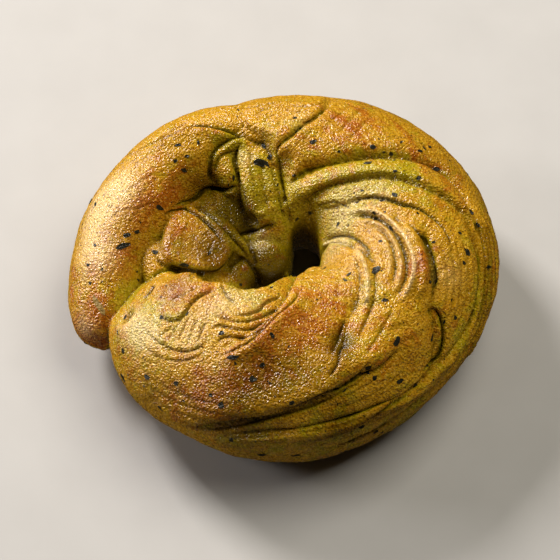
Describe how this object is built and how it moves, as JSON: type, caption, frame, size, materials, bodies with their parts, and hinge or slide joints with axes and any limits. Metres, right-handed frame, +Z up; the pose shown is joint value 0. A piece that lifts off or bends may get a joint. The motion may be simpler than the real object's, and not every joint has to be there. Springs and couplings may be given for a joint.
{
  "type": "bagel",
  "caption": "Hand-rolled twisted bagel of herb-flecked green dough, with a tapered tail lapped over the outside of the ring.",
  "frame": {"origin": "middle of the underside's bounding rectangle, on the surface the bagel lies on", "axes": "+X across the long way, with the tail's tip at the -X end; +Y towards the side where the tail begins; +Z up"},
  "size_m": [0.1106, 0.1016, 0.0419],
  "materials": {
    "crust": "satin baked crust, golden brown on the crests and olive green in the folds, with dark leaf flecks"
  },
  "bodies": {
    "root": {"bagel": "crust"}
  },
  "joints": []
}
